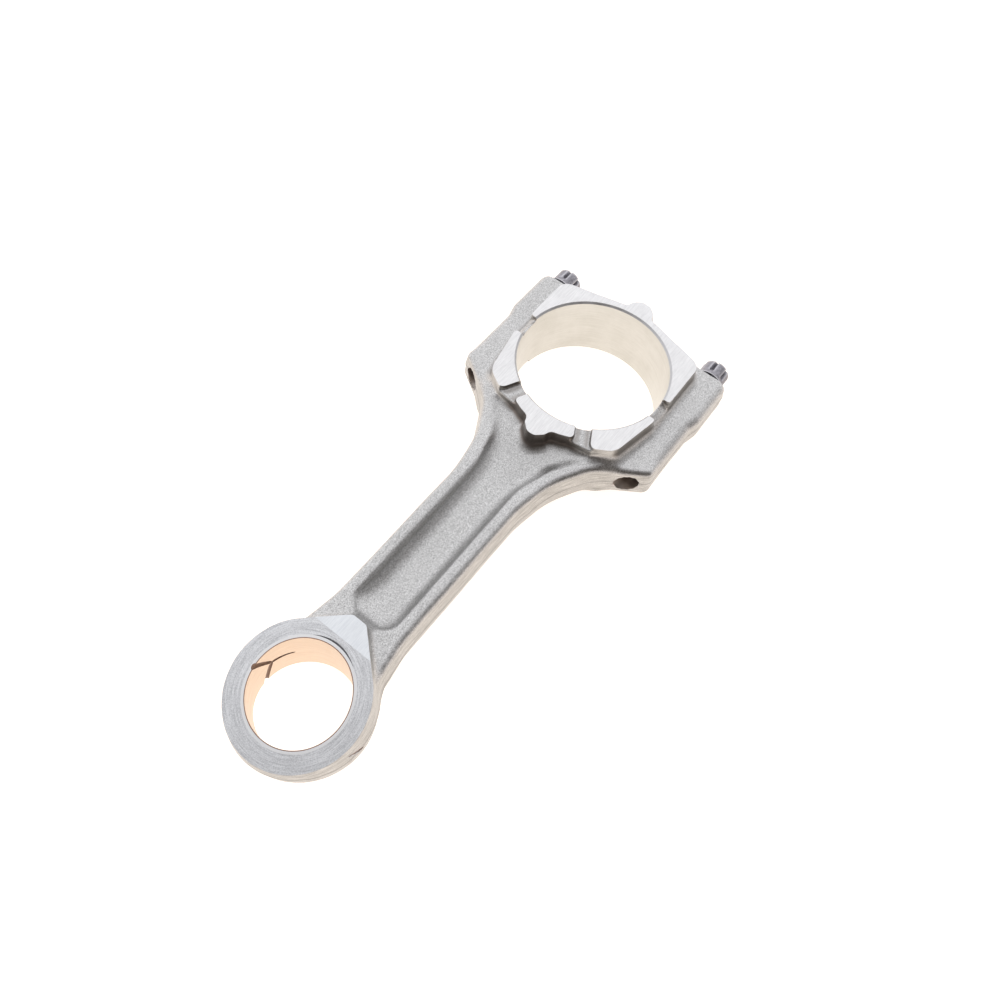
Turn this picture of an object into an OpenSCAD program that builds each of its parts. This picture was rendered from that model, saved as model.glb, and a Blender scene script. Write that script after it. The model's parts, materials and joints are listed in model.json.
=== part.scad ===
// Fracture-split connecting rod for a small diesel engine, lying flat.
// Origin: centre of the big-end bore at mid-thickness. All sizes in mm.
// +X runs along the rod to the small end, +Y across the two bolts, +Z along the crankpin.

/* [Rod] */
// Centre distance, big-end bore to small-end bore
centre_distance = 145; // [120:0.5:180]
// Width of the big end between its two thrust faces
big_end_width = 25.4; // [20:0.1:34]
// Half width of the shank at mid-thickness
shank_half_w = 13; // [9:0.1:16]
// Height of the shank flanges
shank_height = 16; // [12:0.2:22]
// Thickness of the shank web
web_thickness = 6; // [4:0.2:10]
// Half width of the shank pocket at the flange top
pocket_half_w = 8.4; // [5:0.1:11]
// Draft angle of the forged side walls
draft_deg = 7; // [0:0.5:12]

/* [Big end] */
// Diameter of the crankpin bore
big_bore_d = 53.5; // [40:0.1:70]
// Chamfer at both edges of the crankpin bore
big_chamfer = 0.65; // [0.2:0.05:1.5]
// Depth of the two relief slots in the shank-side thrust face
slot_depth = 1.8; // [1:0.1:4]
// Direction of the relief slots from the rod axis
slot_deg = 27.3; // [20:0.1:40]
// Width of the relief slots
slot_w = 5.6; // [3:0.1:8]
// Depth of the recess that crosses the parting line
split_recess_depth = 1.8; // [0.5:0.1:2]
// Recess length on the shank side of the parting line
split_recess_rod = 5.9; // [2:0.1:8]
// Recess length on the cap side of the parting line
split_recess_cap = 3; // [1:0.1:6]

/* [Bolts] */
// Distance between the two bolt axes
bolt_spacing = 66; // [60:0.1:76]
// Thread diameter of the bolt
bolt_d = 8; // [6:0.5:10]
// Tapped hole in the rod, before the thread
tapped_d = 7; // [5:0.1:9]
// Clearance hole in the cap
cap_hole_d = 8.4; // [6.4:0.1:10.6]
// Distance from the parting line to the bolt seat
seat_x = 28; // [24:0.1:34]
// Length under the head
bolt_length = 43; // [36:0.5:56]
// Diameter of the head flange
flange_d = 11.6; // [9:0.1:16]
// Diameter over the six lobes
lobe_d = 10.08; // [7:0.02:13]
// Height of the lobed part
lobe_h = 5; // [3:0.1:8]

/* [Small end] */
// Diameter of the piston-pin bore in the bush
pin_bore_d = 30; // [22:0.1:38]
// Wall of the bush
bush_wall = 1.1; // [0.8:0.05:2.5]
// Outer radius of the small end at mid-thickness
eye_r = 22; // [18:0.1:28]
// Slope of the two small-end faces
taper_deg = 12; // [0:0.5:15]
// Distance from the pin axis to the start of the slope
taper_start = 18.3; // [10:0.1:24]
// Distance from the pin axis to the blunt nose
nose_reach = 25.6; // [22:0.1:32]
// Half width of the blunt nose
nose_half_w = 3.1; // [1:0.1:6]

/* [Hidden] */
$fn = 96;
// overlap of joined solids, and how far a cut runs past a face
eps = 0.01;
over = 1;
clear = 40;
big = 300;
half_t = big_end_width / 2;
big_r = big_bore_d / 2;
flange_z = shank_height / 2;
web_z = web_thickness / 2;
pin_r = pin_bore_d / 2;
bush_r = pin_r + bush_wall;
bolt_y = bolt_spacing / 2;
// bolt bosses: height of the flat, of its outer edge, and reach outside the bolt axis
boss_z = 6;
boss_edge_z = 4.4;
boss_out = 6.5;
boss_corner = 1.5;
boss_flat = 3;
boss_step_in = 24;
boss_step_out = 29;
boss_x = 60;
cap_boss_extra = 1.5;
cap_step_x = -9;
cap_step_run = 4;
slope_k = tan(taper_deg);
eye_face_z = half_t - slope_k * taper_start;
bush_lead = 0.8;
nose_deg = 44;
// domed crown of the cap
crown_r = 34.3;
crown_edge_r = 28.7;
crown_z = 7;
crown_half_y = 26;
crown_x = -10;
// thrust face and its two forged nubs
thrust_y = 29.2;
nub_r = 3.8;
nub_rod_x = 33.3;
nub_cap_x = -30.5;
// ends of the plain shank section, and the radius outside which the pocket starts
beam_x = [50, 128];
pocket_r = 34.7;
// bolt head, thread and locating collar
head_flange_h = 1.2;
head_cone_h = 2.1;
cone_top_ratio = 0.9;
cone_foot_d = flange_d - 0.6;
valley_ratio = 0.74;
valley_centre = 0.58;
neck_d = bolt_d - 0.8;
point_h = 1;
point_d = bolt_d - 2.4;
collar_d = 8.25;
collar_h = 4;
thread_gap = 1;
thread_end = 1.5;
// branched oil groove: depth, width, and [degrees, z] of its junction and three ends
groove_depth = 0.5;
groove_w = 1.3;
groove_joint = [-100.5, 0.4];
groove_ends = [[-79, 9.5], [-128.5, -0.2], [-83, -9]];

// one rounded corner: the arc that joins p-q and q-n with radius q.z
function unit(v) = v / norm(v);
function xy(p) = [p.x, p.y];
function corner(p, q, n, steps = 8) =
    let (
        a = unit(xy(p) - xy(q)),
        b = unit(xy(n) - xy(q)),
        half = acos(max(-1, min(1, a * b))) / 2,
        reach = q.z / tan(half),
        centre = xy(q) + unit(a + b) * q.z / sin(half),
        s = xy(q) + a * reach - centre,
        e = xy(q) + b * reach - centre,
        turn = 180 - 2 * half,
        side = sign(s.x * e.y - s.y * e.x)
    )
    [for (i = [0 : steps])
        let (t = side * turn * i / steps)
        centre + [s.x * cos(t) - s.y * sin(t), s.x * sin(t) + s.y * cos(t)]];

function rounded(pts) =
    let (n = len(pts))
    [for (i = [0 : n - 1])
        let (q = pts[i])
        each (q.z == 0 ? [xy(q)] : corner(pts[(i + n - 1) % n], q, pts[(i + 1) % n]))];

function both_sides(half) =
    concat(half, [for (i = [len(half) - 1 : -1 : 0]) [half[i].x, -half[i].y, half[i].z]]);

// plan of the forged rod body: bosses, shoulders, shank and the root of the eye
rod_plan = [
    [-1, bolt_y + boss_out, 0],
    [19.6, bolt_y + boss_out, 4],
    [27.4, 28.6, 12],
    [34.2, 22.3, 12],
    [45, 16.9, 0],
    [60, shank_half_w, 45],
    [112, shank_half_w, 40],
    [136, 18, 0]
];

// plan of the machined thrust face on the shank side
rod_thrust_plan = [
    [-1, thrust_y, 0],
    [6.4, thrust_y, 0.5],
    [25.2, 25.6, 4],
    [29.6, 18.4, 0.8],
    [30.4, 10.6, 0.8],
    [32, 4.6, 2.5],
    [nub_rod_x, nub_r + 0.1, 0]
];

// plan of the machined thrust face on the cap
cap_thrust_plan = [
    [1, thrust_y, 0],
    [-23, thrust_y, 5],
    [-25.9, 21, 20],
    [-28.2, 8, 20],
    [-28.8, nub_r + 0.6, 1],
    [nub_cap_x, nub_r, 0]
];

// plan of the forged cap body with its wider bolt bosses
cap_plan = [
    [1, bolt_y + boss_out, 0],
    [cap_step_x + cap_step_run, bolt_y + boss_out, 3],
    [cap_step_x, bolt_y + boss_out + cap_boss_extra, 3],
    [-seat_x, bolt_y + boss_out + cap_boss_extra, 3],
    [-seat_x, 25, 0]
];

// plan and floor of the shank pocket: round at the small end, rising towards the big end
pocket_plan = [
    [34, 16.6, 0],
    [43, 11.6, 0],
    [57, pocket_half_w, 25],
    [118.2, pocket_half_w, 6]
];
pocket_floor = [[33, flange_z], [58, web_z], [125, web_z], [125, clear], [33, clear]];

// upper half of a boss section, across the bolts
function boss_section(y_out) = [
    [-eps, flange_z],
    [boss_step_in, flange_z],
    [boss_step_out, boss_z],
    [y_out - boss_flat, boss_z],
    [y_out - boss_corner, boss_edge_z],
    [y_out, 0],
    [-eps, 0]
];

module slab(h) {
    translate([0, 0, -h])
        linear_extrude(height = 2 * h)
            children();
}

module along_x(x0, x1) {
    translate([x0, 0, 0])
        rotate([90, 0, 90])
            linear_extrude(height = x1 - x0)
                children();
}

module along_y(w) {
    rotate([90, 0, 0])
        translate([0, 0, -w])
            linear_extrude(height = 2 * w)
                children();
}

module four_fold() {
    for (sy = [0, 1])
        for (sz = [0, 1])
            mirror([0, sy, 0])
                mirror([0, 0, sz])
                    children();
}

module half_space(side) {
    translate([side > 0 ? 0 : -big, -big / 2, -big / 2])
        cube(big);
}

module boss_limit(y_out) {
    four_fold()
        along_x(-boss_x, boss_x)
            polygon(boss_section(y_out));
}

module bolt_pair() {
    for (s = [-1, 1])
        translate([0, s * bolt_y, 0])
            rotate([0, 90, 0])
                children();
}

// bore with a chamfer at both thrust faces
module big_bore() {
    rotate_extrude()
        polygon([
            [0, -half_t - over],
            [big_r + big_chamfer + over, -half_t - over],
            [big_r, -half_t + big_chamfer],
            [big_r, half_t - big_chamfer],
            [big_r + big_chamfer + over, half_t + over],
            [0, half_t + over]
        ]);
}

// shallow forged recess that crosses the parting line on both thrust faces
module split_recess() {
    for (sy = [-1, 1])
        for (sz = [-1, 1])
            translate([
                -split_recess_cap,
                sy > 0 ? 0 : -clear,
                sz > 0 ? half_t - split_recess_depth : -half_t - over
            ])
                cube([split_recess_rod + split_recess_cap, clear, split_recess_depth + over]);
}

module relief_slots() {
    for (sy = [-1, 1])
        for (sz = [-1, 1])
            rotate([0, 0, sy * slot_deg])
                translate([0, -slot_w / 2, sz > 0 ? half_t - slot_depth : -half_t - over])
                    cube([clear, slot_w, slot_depth + over]);
}

// the shank with drafted sides
module shank_beam() {
    edge = shank_half_w - flange_z * tan(draft_deg);
    bevel = 0.6;
    four_fold()
        along_x(beam_x[0], beam_x[1])
            polygon([
                [-eps, 0],
                [shank_half_w, 0],
                [edge, flange_z - bevel],
                [edge - bevel, flange_z],
                [-eps, flange_z]
            ]);
}

module pocket() {
    difference() {
        intersection() {
            linear_extrude(height = clear)
                polygon(rounded(both_sides(pocket_plan)));
            along_y(clear)
                polygon(pocket_floor);
        }
        slab(half_t + over) {
            circle(r = pocket_r);
            translate([nub_rod_x, 0])
                circle(r = nub_r);
        }
    }
}

module eye_side() {
    polygon([
        [-nose_reach - over, -half_t],
        [-taper_start, -half_t],
        [eye_r + over, slope_k * (eye_r + over) - eye_face_z],
        [eye_r + over, eye_face_z - slope_k * (eye_r + over)],
        [-taper_start, half_t],
        [-nose_reach - over, half_t]
    ]);
}

module eye_forging() {
    edge_r = eye_r - half_t * tan(draft_deg);
    rotate_extrude()
        polygon([[0, -half_t], [edge_r, -half_t], [eye_r, 0], [edge_r, half_t], [0, half_t]]);
    slab(half_t)
        polygon([
            [-nose_reach, -nose_half_w],
            [-nose_reach, nose_half_w],
            [-edge_r * cos(nose_deg), edge_r * sin(nose_deg)],
            [0, edge_r],
            [0, -edge_r],
            [-edge_r * cos(nose_deg), -edge_r * sin(nose_deg)]
        ]);
}

// small end: forged eye and nose between the two sloped faces
module eye() {
    translate([centre_distance, 0, 0])
        intersection() {
            eye_forging();
            along_y(clear)
                eye_side();
        }
}

// bore for the bush, with a lead-in cone that the sloped faces leave only on the shank side
module eye_bore() {
    mouth_z = eye_face_z + slope_k * bush_r;
    top_r = bush_r + bush_lead + half_t + over - mouth_z;
    translate([centre_distance, 0, 0])
        rotate_extrude()
            polygon([
                [0, -half_t - over],
                [top_r, -half_t - over],
                [bush_r, bush_lead - mouth_z],
                [bush_r, mouth_z - bush_lead],
                [top_r, half_t + over],
                [0, half_t + over]
            ]);
}

module rod() {
    color([0.62, 0.63, 0.64])
        difference() {
            intersection() {
                half_space(1);
                union() {
                    intersection() {
                        slab(flange_z)
                            polygon(rounded(both_sides(rod_plan)));
                        boss_limit(bolt_y + boss_out);
                    }
                    shank_beam();
                    slab(half_t) {
                        polygon(rounded(both_sides(rod_thrust_plan)));
                        translate([nub_rod_x, 0])
                            circle(r = nub_r);
                    }
                }
            }
            for (s = [0, 1])
                mirror([0, 0, s])
                    pocket();
            big_bore();
            relief_slots();
            split_recess();
            bolt_pair()
                cylinder(d = tapped_d, h = 2 * clear);
            translate([centre_distance, 0, -half_t - over])
                cylinder(r = bush_r, h = big_end_width + 2 * over);
        }
    color([0.62, 0.63, 0.64])
        difference() {
            eye();
            eye_bore();
        }
}

module cap() {
    color([0.62, 0.63, 0.64])
        difference() {
            intersection() {
                half_space(-1);
                union() {
                    intersection() {
                        slab(flange_z)
                            polygon(rounded(both_sides(cap_plan)));
                        boss_limit(bolt_y + boss_out + cap_boss_extra);
                    }
                    slab(half_t) {
                        polygon(rounded(both_sides(cap_thrust_plan)));
                        translate([nub_cap_x, 0])
                            circle(r = nub_r);
                    }
                    intersection() {
                        rotate_extrude()
                            polygon([
                                [0, -half_t],
                                [crown_edge_r, -half_t],
                                [crown_r, -crown_z],
                                [crown_r, crown_z],
                                [crown_edge_r, half_t],
                                [0, half_t]
                            ]);
                        translate([crown_x - clear, -crown_half_y, -clear / 2])
                            cube([clear, 2 * crown_half_y, clear]);
                    }
                }
            }
            big_bore();
            split_recess();
            bolt_pair()
                translate([0, 0, -2 * clear])
                    cylinder(d = cap_hole_d, h = 2 * clear + over);
            for (s = [-1, 1])
                translate([-seat_x, s * bolt_y, 0])
                    rotate([0, -90, 0])
                        cylinder(d = flange_d + over, h = clear);
        }
}

// bush: ends follow the sloped faces, one branched oil groove
module bush() {
    color([0.80, 0.58, 0.36])
        translate([centre_distance, 0, 0])
            difference() {
                intersection() {
                    cylinder(r = bush_r, h = big_end_width, center = true);
                    along_y(clear)
                        eye_side();
                }
                cylinder(r = pin_r, h = big_end_width + 2 * over, center = true);
                for (end = groove_ends)
                    groove_arm(groove_joint, end);
            }
}

// one straight arm of the oil groove, between two [degrees, z] points of the bore
module groove_arm(a, b) {
    run = (b.x - a.x) * PI / 180 * pin_r;
    rise = b.y - a.y;
    rotate([0, 0, (a.x + b.x) / 2])
        translate([pin_r, 0, (a.y + b.y) / 2])
            rotate([atan2(rise, run), 0, 0])
                cube([2 * groove_depth, norm([run, rise]) + groove_w / 2, groove_w], center = true);
}

// bolt along +X: neck, point, locating collar, thread, flange, cone and lobed drive
module bolt() {
    under_head = -seat_x;
    drive_foot = under_head - head_flange_h - head_cone_h;
    color([0.30, 0.29, 0.31])
        rotate([0, 90, 0]) {
            translate([0, 0, under_head])
                cylinder(d = neck_d, h = bolt_length - point_h);
            translate([0, 0, under_head + bolt_length - point_h])
                cylinder(d1 = neck_d, d2 = point_d, h = point_h);
            translate([0, 0, -collar_h])
                cylinder(d = collar_d, h = collar_h);
            translate([0, 0, thread_gap])
                cylinder(d = bolt_d, h = bolt_length - seat_x - thread_gap - thread_end);
            translate([0, 0, under_head - head_flange_h])
                cylinder(d = flange_d, h = head_flange_h);
            translate([0, 0, drive_foot])
                cylinder(d1 = lobe_d * cone_top_ratio, d2 = cone_foot_d, h = head_cone_h);
            translate([0, 0, drive_foot - lobe_h])
                linear_extrude(height = lobe_h + head_cone_h)
                    lobes();
        }
}

module lobes() {
    difference() {
        circle(d = lobe_d);
        for (i = [0 : 5])
            rotate([0, 0, 60 * i + 30])
                translate([lobe_d * valley_centre, 0])
                    circle(r = lobe_d * (valley_centre - valley_ratio / 2));
    }
}

module bolt_left() {
    translate([0, -bolt_y, 0])
        bolt();
}

module bolt_right() {
    translate([0, bolt_y, 0])
        bolt();
}

rod();
cap();
bush();
bolt_left();
bolt_right();
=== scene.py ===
"""Looks of the fracture-split connecting rod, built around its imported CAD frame.

The forging is one smooth field of drafted, filleted bodies, meshed as a fine skin. It is then machined the
way the real one is: flat thrust faces, sloped small-end faces, bores, tapped holes and bolt seats are cut from
it, so every crisp edge is a plane or a cylinder meeting the forged surface. Sizes are in millimetres up to the
mesh.
"""
import json
import math

import bmesh
import bpy
import numpy as np
from mathutils import Matrix, Vector


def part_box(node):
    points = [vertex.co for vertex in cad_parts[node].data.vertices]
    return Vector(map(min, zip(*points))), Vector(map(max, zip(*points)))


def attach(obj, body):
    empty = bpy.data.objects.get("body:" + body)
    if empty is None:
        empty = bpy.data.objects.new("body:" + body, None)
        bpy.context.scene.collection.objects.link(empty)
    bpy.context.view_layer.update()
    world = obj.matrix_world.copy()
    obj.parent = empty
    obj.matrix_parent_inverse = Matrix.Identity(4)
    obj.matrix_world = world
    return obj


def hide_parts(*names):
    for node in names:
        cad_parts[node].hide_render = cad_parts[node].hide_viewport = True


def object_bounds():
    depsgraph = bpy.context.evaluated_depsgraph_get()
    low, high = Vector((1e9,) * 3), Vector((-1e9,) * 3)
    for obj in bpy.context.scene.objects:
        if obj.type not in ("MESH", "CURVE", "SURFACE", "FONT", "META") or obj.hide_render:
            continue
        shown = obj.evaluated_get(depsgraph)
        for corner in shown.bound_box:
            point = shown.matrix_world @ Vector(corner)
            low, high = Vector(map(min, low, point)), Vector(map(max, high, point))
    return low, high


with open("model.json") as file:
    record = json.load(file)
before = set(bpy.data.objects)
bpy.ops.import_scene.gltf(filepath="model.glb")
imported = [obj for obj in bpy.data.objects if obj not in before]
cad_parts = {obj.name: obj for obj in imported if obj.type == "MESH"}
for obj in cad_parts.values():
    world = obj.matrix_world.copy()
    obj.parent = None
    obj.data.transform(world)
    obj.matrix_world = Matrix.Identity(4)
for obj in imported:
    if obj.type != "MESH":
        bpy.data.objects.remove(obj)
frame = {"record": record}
cad_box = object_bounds()

MM = 0.001

# ---------------------------------------------------------------- sizes, from the frame where it holds them
mounts = {m["name"]: m for m in frame["record"]["mounts"]}
bush_lo, bush_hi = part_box("bush")
bolt_lo, bolt_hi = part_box("bolt_right")
big_r = mounts["big_end_bore"]["dims"]["r_mm"]
pin_r = mounts["pin_bore"]["dims"]["r_mm"]
half_t = mounts["thrust_face_top"]["pos_m"][2] / MM
length = mounts["pin_bore"]["pos_m"][0] / MM
bush_r = (bush_hi[1] - bush_lo[1]) / 2 / MM
bolt_y = (bolt_lo[1] + bolt_hi[1]) / 2 / MM
head_x = bolt_lo[0] / MM
tip_x = bolt_hi[0] / MM

big_chamfer = 0.65
eye_chamfer = 0.42
recess_depth = 1.8
slope_k = math.tan(math.radians(12))
slope_start = 18.3                          # the small end's faces slope from this far before the pin's axis
eye_z = half_t - slope_k * slope_start      # half thickness of the small end at the pin's axis
seat_x = -28.0
seat_r = 9.6
cap_hole_r = 4.2
tapped_r = 3.5
THREAD_START, THREAD_PITCH, THREAD_DEPTH, THREAD_POINTS = 8, 1.0, 0.3, 50
STEP = 0.4                                  # grid step of the forging's field
FIELD_X, FIELD_Y, FIELD_Z = (-40, 170), 44, 16
STOCK = 1.2                                 # what the forging has over its machined faces


# ---------------------------------------------------------------- fields: negative inside, in mm
def smax(a, b, r):
    """Intersection of two fields, with the edge rounded to radius r."""
    return np.minimum(np.maximum(a, b), -r) + np.hypot(np.maximum(a + r, 0), np.maximum(b + r, 0))


def smin(a, b, r):
    """Union of two fields, with the inner corner filleted to radius r."""
    return np.maximum(np.minimum(a, b), r) - np.hypot(np.maximum(r - a, 0), np.maximum(r - b, 0))


def ramp(v, lo, hi):
    """0 below lo, 1 above hi, smooth between."""
    t = np.clip((v - lo) / (hi - lo), 0, 1)
    return t * t * (3 - 2 * t)


def rounded(points, steps=10):
    """A closed outline from (x, y, corner radius) points."""
    out = []
    n = len(points)
    for i, (x, y, r) in enumerate(points):
        q = np.array([x, y], float)
        if r == 0:
            out.append(q)
            continue
        a = np.array(points[i - 1][:2], float) - q
        b = np.array(points[(i + 1) % n][:2], float) - q
        a /= np.linalg.norm(a)
        b /= np.linalg.norm(b)
        half = math.acos(np.clip(a @ b, -1, 1)) / 2
        centre = q + (a + b) / np.linalg.norm(a + b) * r / math.sin(half)
        start = q + a * r / math.tan(half) - centre
        side = math.copysign(1, start[0] * (q - centre)[1] - start[1] * (q - centre)[0])
        for k in range(steps + 1):
            t = side * (math.pi - 2 * half) * k / steps
            c, s = math.cos(t), math.sin(t)
            out.append(centre + np.array([start[0] * c - start[1] * s, start[0] * s + start[1] * c]))
    return np.array(out)


def both_sides(half):
    """A closed outline from the half of it with positive y."""
    return half + [(x, -y, r) for x, y, r in reversed(half)]


def outline_field(outline, x, y):
    """Signed distance in plan from a closed outline, on the grid of x (column) and y (row) places."""
    px, py = np.meshgrid(x, y, indexing="ij")
    best = np.full(px.shape, 1e9)
    inside = np.zeros(px.shape, bool)
    for (ax, ay), (bx, by) in zip(outline, np.roll(outline, -1, axis=0)):
        ex, ey = bx - ax, by - ay
        wx, wy = px - ax, py - ay
        t = np.clip((wx * ex + wy * ey) / max(ex * ex + ey * ey, 1e-12), 0, 1)
        best = np.minimum(best, (wx - ex * t) ** 2 + (wy - ey * t) ** 2)
        if ay != by:
            inside ^= ((ay > py) != (by > py)) & (px < (bx - ax) * (py - ay) / (by - ay) + ax)
    return np.where(inside, -1, 1) * np.sqrt(best)


# plan outlines, the half of each with positive y: (x, y, corner radius)
ROD_BODY = [
    (-6, 38.5, 0), (20.3, 38.5, 2.2), (26.8, 28.6, 9), (33.0, 21.8, 16), (45.2, 15.1, 35), (60, 12.55, 45),
    (116, 12.55, 40), (140, 16.2, 0),
]
ROD_THRUST = [
    (-6, 29.0, 0), (7.6, 29.0, 1.0), (25.1, 25.6, 6.5), (29.0, 19.0, 0.8), (30.2, 10.8, 1.2), (31.3, 8, 6),
    (32.3, 4.6, 2.5), (34.6, 4.0, 1.8), (37.1, 1.4, 2.6),
]
CAP_THRUST = [
    (6, 29.2, 0), (-23.2, 29.2, 4.6), (-25.9, 19, 30), (-28.2, 8, 30), (-28.9, 5.0, 1.2), (-32.0, 4.4, 2.5),
    (-34.3, 1.7, 2.0),
]
CAP_BODY = [
    (6, 38.5, 0), (-4.5, 38.5, 6), (-9.5, 39.75, 6), (-30.2, 39.75, 4.5), (-30.2, 25.2, 1.5), (-24, 22, 0),
]
POCKET = [(27, 23, 0), (42.0, 11.8, 14), (54, 8.5, 25), (62, 8.3, 40), (118.4, 8.3, 7)]
NOSE_REACH, NOSE_HALF, EYE_R, EYE_DRAFT = 25.6, 3.1, 20.64, 0.103
NOSE_CORNER = (0.5, 0.8)
EYE_TANGENT = math.radians(134)             # where the eye's circle ends and its straight sides start
FORGED_DRAFT = math.radians(8)
BODY_Z = 7.5                                # height at which ROD_BODY and CAP_BODY are given
FLANGE_TOP, WEB_HALF, POCKET_DRAFT = 8, 3.0, 0.42
PAD_DRAFT = 0.123
CROWN_R, CROWN_FACE_R, CROWN_START = 34.6, 28.6, -17
SLOT_ANGLE, SLOT_HALF = math.radians(27.3), 2.9
SPLIT_X, SPLIT_HALF = 1.45, 4.45            # the recess between the pads at the parting plane
NOTCH_REACH = 20                            # where slots and recess start, outwards from the bore's axis
FLASH_EDGE = 0.75                           # half height of the land left by the trimmed flash

# marks along eye walls: both ends as (degrees, z), the radius at each end, and the wall's radius
GOUGE = ((79.0, 3.7), (96.3, -1.2), 0.6, 0.4, 21.76)
OIL_JOINT = (-100.5, 0.3)
OIL_GROOVES = (
    (OIL_JOINT, (-79, 9.5), 0.7, 1.05, pin_r + 0.05),
    (OIL_JOINT, (-83, -9.6), 0.7, 1.05, pin_r + 0.05),
    (OIL_JOINT, (-128.5, -0.2), 0.85, 0.4, pin_r + 0.05),
)


def eye_outline():
    """The small end's plan: a circle with two tangents to a blunt nose, pointing at the big end."""
    arc = [EYE_TANGENT * (1 - 2 * k / 96) for k in range(97)]
    pts = [(length + EYE_R * math.cos(a), EYE_R * math.sin(a)) for a in arc]
    nose = length - NOSE_REACH
    back, down = NOSE_CORNER
    pts += [(nose + back, -NOSE_HALF), (nose, -NOSE_HALF + down)]
    pts += [(nose, NOSE_HALF - down), (nose + back, NOSE_HALF)]
    return np.array(pts)


def forging():
    """Field of the whole forging before machining, on one quarter of its box: y and z from the middle out.

    Factors such as 0.98 on a leaning wall keep the field's slope near 1, so that its fillets stay round.
    """
    x = np.arange(*FIELD_X, STEP)
    y = np.arange(STEP / 2, FIELD_Y, STEP)
    z = np.arange(STEP / 2, FIELD_Z, STEP)
    gx, gy, gz = x[:, None, None], y[None, :, None], z[None, None, :]
    floor = half_t - recess_depth

    def plan(half):
        return outline_field(rounded(both_sides(half)), x, y)[:, :, None]

    def drafted(outline, base_z, angle):
        return (outline - (base_z - gz) * math.tan(angle)) * math.cos(angle)

    def pads(outline, notches):
        """A drafted block for the thrust pads, with (field, corner radius) notches sunk to the recess floor."""
        fall = 0.95 * np.maximum(gy - 27.2, 0) * (1 - ramp(np.abs(gx - SPLIT_X), 4.4, 7.5))
        base_top = floor - fall
        lean = (half_t - gz) * PAD_DRAFT
        block = smax((outline - lean) * 0.98, gz - half_t - STOCK, 0.3)
        kept = outline - 0.3
        for notch, corner in notches:
            kept = smax(kept, -notch, corner)
        return smax(block, -smax(lean - kept, base_top - gz, 0.8), 0.3)

    # shank, shoulders and rod-side bosses: the flange top falls from the shank to the bosses
    top = FLANGE_TOP - 0.6 * (1 - ramp(gx, 40, 58)) - 1.4 * ramp(gy, 23, 31)
    side = drafted(plan(ROD_BODY), BODY_Z, FORGED_DRAFT)
    shank = smax(side, gz - top, 1.9)
    boss = smax(side, gz - top, 3.4)
    body = shank + (boss - shank) * ramp(gy, 27, 33) * ramp(-gx, -22, -12)

    # pocket of the I-section: drafted walls, filleted floor that rises to the flanges at the big end
    web = WEB_HALF + 4.6 * ramp(-gx, -56, -26) + 3.0 * ramp(gx, 103, 122)
    wall = (plan(POCKET) + (FLANGE_TOP - gz) * POCKET_DRAFT) * 0.92
    body = smax(body, -smax(wall, web - gz, 3.0), 1.0)

    # rod-side thrust pads between the relief slots and the recess at the parting plane
    c, s = math.cos(SLOT_ANGLE), math.sin(SLOT_ANGLE)
    across = np.abs(gy * c - gx * s) - SLOT_HALF
    slot = np.maximum(across, NOTCH_REACH - gx * c - gy * s)
    split = np.maximum(np.abs(gx - SPLIT_X) - SPLIT_HALF, NOTCH_REACH - gy)
    rod = smin(body, pads(plan(ROD_THRUST), ((slot, 2.4), (split, 1.2))), 3.0)

    # small end: stock over the sloped faces, its outer edge rolled over
    slope = half_t + STOCK - slope_k * (gx - length + slope_start)
    stock = np.where(gx < length - slope_start, half_t + STOCK, slope)
    eye_side = (outline_field(eye_outline(), x, y)[:, :, None] - (half_t - gz) * EYE_DRAFT) * 0.992
    rod = smin(rod, smax(eye_side, gz - stock, 1.6), 3.4 - 1.4 * ramp(gy, 9, 14))

    # cap: thrust pads, wider bolt bosses and a domed crown
    cap_top = 6.0 + 1.6 * (1 - ramp(gy, 22, 29))
    cap_boss = smax(drafted(plan(CAP_BODY), BODY_Z, FORGED_DRAFT), gz - cap_top, 3.2)
    r = np.hypot(gx, gy)
    crown = smax(r - CROWN_R, (r - CROWN_FACE_R) * 0.77 - (half_t - gz) * 0.64, 3.0)
    crown = smax(smax(crown, gz - half_t - 1, 0.5), gx - CROWN_START, 3.0)
    cap = smin(smin(cap_boss, pads(plan(CAP_THRUST), ((split, 1.2),)), 2.8), crown, 2.6)

    # both halves are one forging, so the cap's field runs into the rod's before the parting plane
    whole = cap + (rod - cap) * ramp(gx, -5, -0.5)

    # ridge left where the flash was trimmed along the die parting line
    flash = np.hypot(np.maximum(gz - 0.5, 0), np.maximum(np.abs(whole) - 0.08, 0)) - 0.05
    whole = np.where(gx < 160, smin(whole, flash, 0.25), whole)
    return x, y, z, whole.astype(np.float32)


def waves(shape, cell, rng):
    """Smooth random field, about -1 to 1, that varies over cell grid steps."""
    field = rng.uniform(-1, 1, [n // cell + 3 for n in shape]).astype(np.float32)
    for axis, n in enumerate(shape):
        at = np.arange(n) / cell
        i = at.astype(int)
        t = at - i
        t = (t * t * (3 - 2 * t)).astype(np.float32)
        t = t.reshape([-1 if k == axis else 1 for k in range(3)])
        field = np.take(field, i, axis) * (1 - t) + np.take(field, i + 1, axis) * t
    return field


def unfold(field, axis):
    """A field known from the middle out, mirrored to the whole."""
    return np.concatenate([np.flip(field, axis), field], axis)


CORNERS = [(i, j, k) for i in (0, 1) for j in (0, 1) for k in (0, 1)]


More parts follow.
